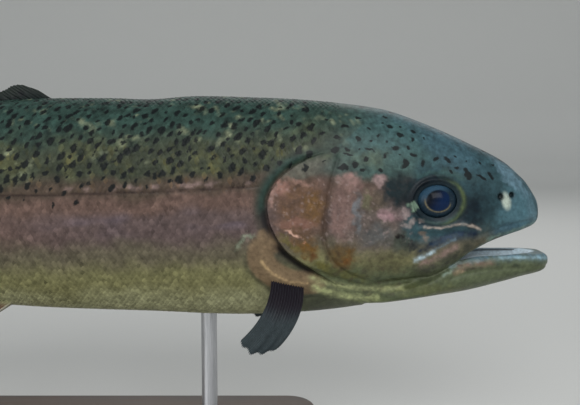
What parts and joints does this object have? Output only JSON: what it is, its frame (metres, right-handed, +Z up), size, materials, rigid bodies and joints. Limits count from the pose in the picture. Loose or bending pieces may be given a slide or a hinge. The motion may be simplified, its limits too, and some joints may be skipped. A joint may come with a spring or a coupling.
{
  "type": "rainbow trout",
  "caption": "Life-size rainbow trout with a spotted back, worn fins and parted jaws, its tail gently swayed, held by short rods above a flat display base.",
  "frame": {"origin": "centre of the underside of the stand's base, on the floor", "axes": "+X towards the snout, +Y towards the trout's left side, +Z up"},
  "size_m": [0.578, 0.112, 0.1965],
  "materials": {
    "skin": "satin, spotted fish skin with fine scales",
    "gill_cover": "satin, scaleless rosy skin",
    "jaw": "satin, smooth pale skin",
    "fin": "satin, thin ribbed membrane",
    "eye": "polished, clear cornea over a dark iris",
    "mouth": "wet pale flesh",
    "stand_base": "dark stained wood, satin lacquer",
    "stand_rod": "brushed"
  },
  "bodies": {
    "root": {"head": "skin", "lower_jaw": "jaw", "throat": "jaw", "tongue": "mouth", "upper_jaw_left": "jaw", "upper_jaw_right": "jaw", "gill_cover_left": "gill_cover", "gill_cover_right": "gill_cover", "eye_left": "eye", "eye_right": "eye", "trunk_front": "skin", "trunk_rear": "skin", "tail_stalk": "skin", "dorsal_fin": "fin", "adipose_fin": "fin", "tail_fin": "fin", "anal_fin": "fin", "pectoral_fin_left": "fin", "pectoral_fin_right": "fin", "pelvic_fin_left": "fin", "pelvic_fin_right": "fin", "stand_base": "stand_base", "stand_rod_front": "stand_rod", "stand_rod_rear": "stand_rod"}
  },
  "joints": []
}
